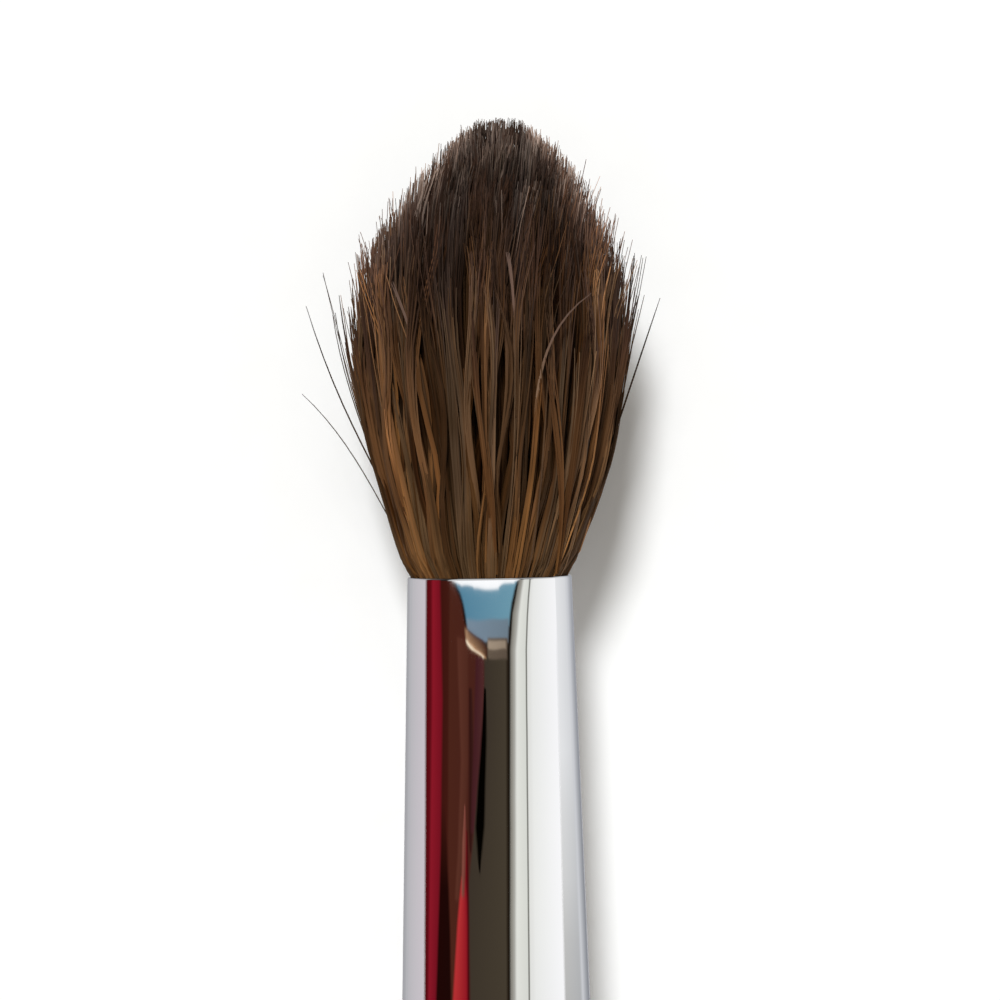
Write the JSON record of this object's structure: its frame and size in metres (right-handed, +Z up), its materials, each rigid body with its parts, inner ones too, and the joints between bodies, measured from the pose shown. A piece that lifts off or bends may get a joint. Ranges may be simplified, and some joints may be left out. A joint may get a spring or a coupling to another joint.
{
  "type": "eyeshadow brush",
  "caption": "Makeup brush lying on its side: tapered head of natural hair, bright tapered metal ferrule and a turned wooden handle.",
  "frame": {"origin": "on the table under the middle of the brush's length, below its axis", "axes": "+Z up from the table, +Y along the brush from the handle's tail towards the hair's tip, +X to the brush's right as seen from above"},
  "size_m": [0.0124, 0.1748, 0.0119],
  "materials": {
    "hair": "natural brown hair, golden near the ferrule and grey-brown at the tips",
    "ferrule_plating": "mirror-bright nickel and chrome plating on brass",
    "thread": "waxed cotton thread",
    "resin": "clear amber epoxy resin",
    "lacquered_wood": "turned hardwood, stained dark brown under clear gloss lacquer",
    "adhesive": "cured wood adhesive"
  },
  "bodies": {
    "root": {"hair_tuft": "hair", "ferrule": "ferrule_plating", "root_binding": "thread", "root_resin": "resin", "handle": "lacquered_wood", "handle_glue": "adhesive"}
  },
  "joints": []
}
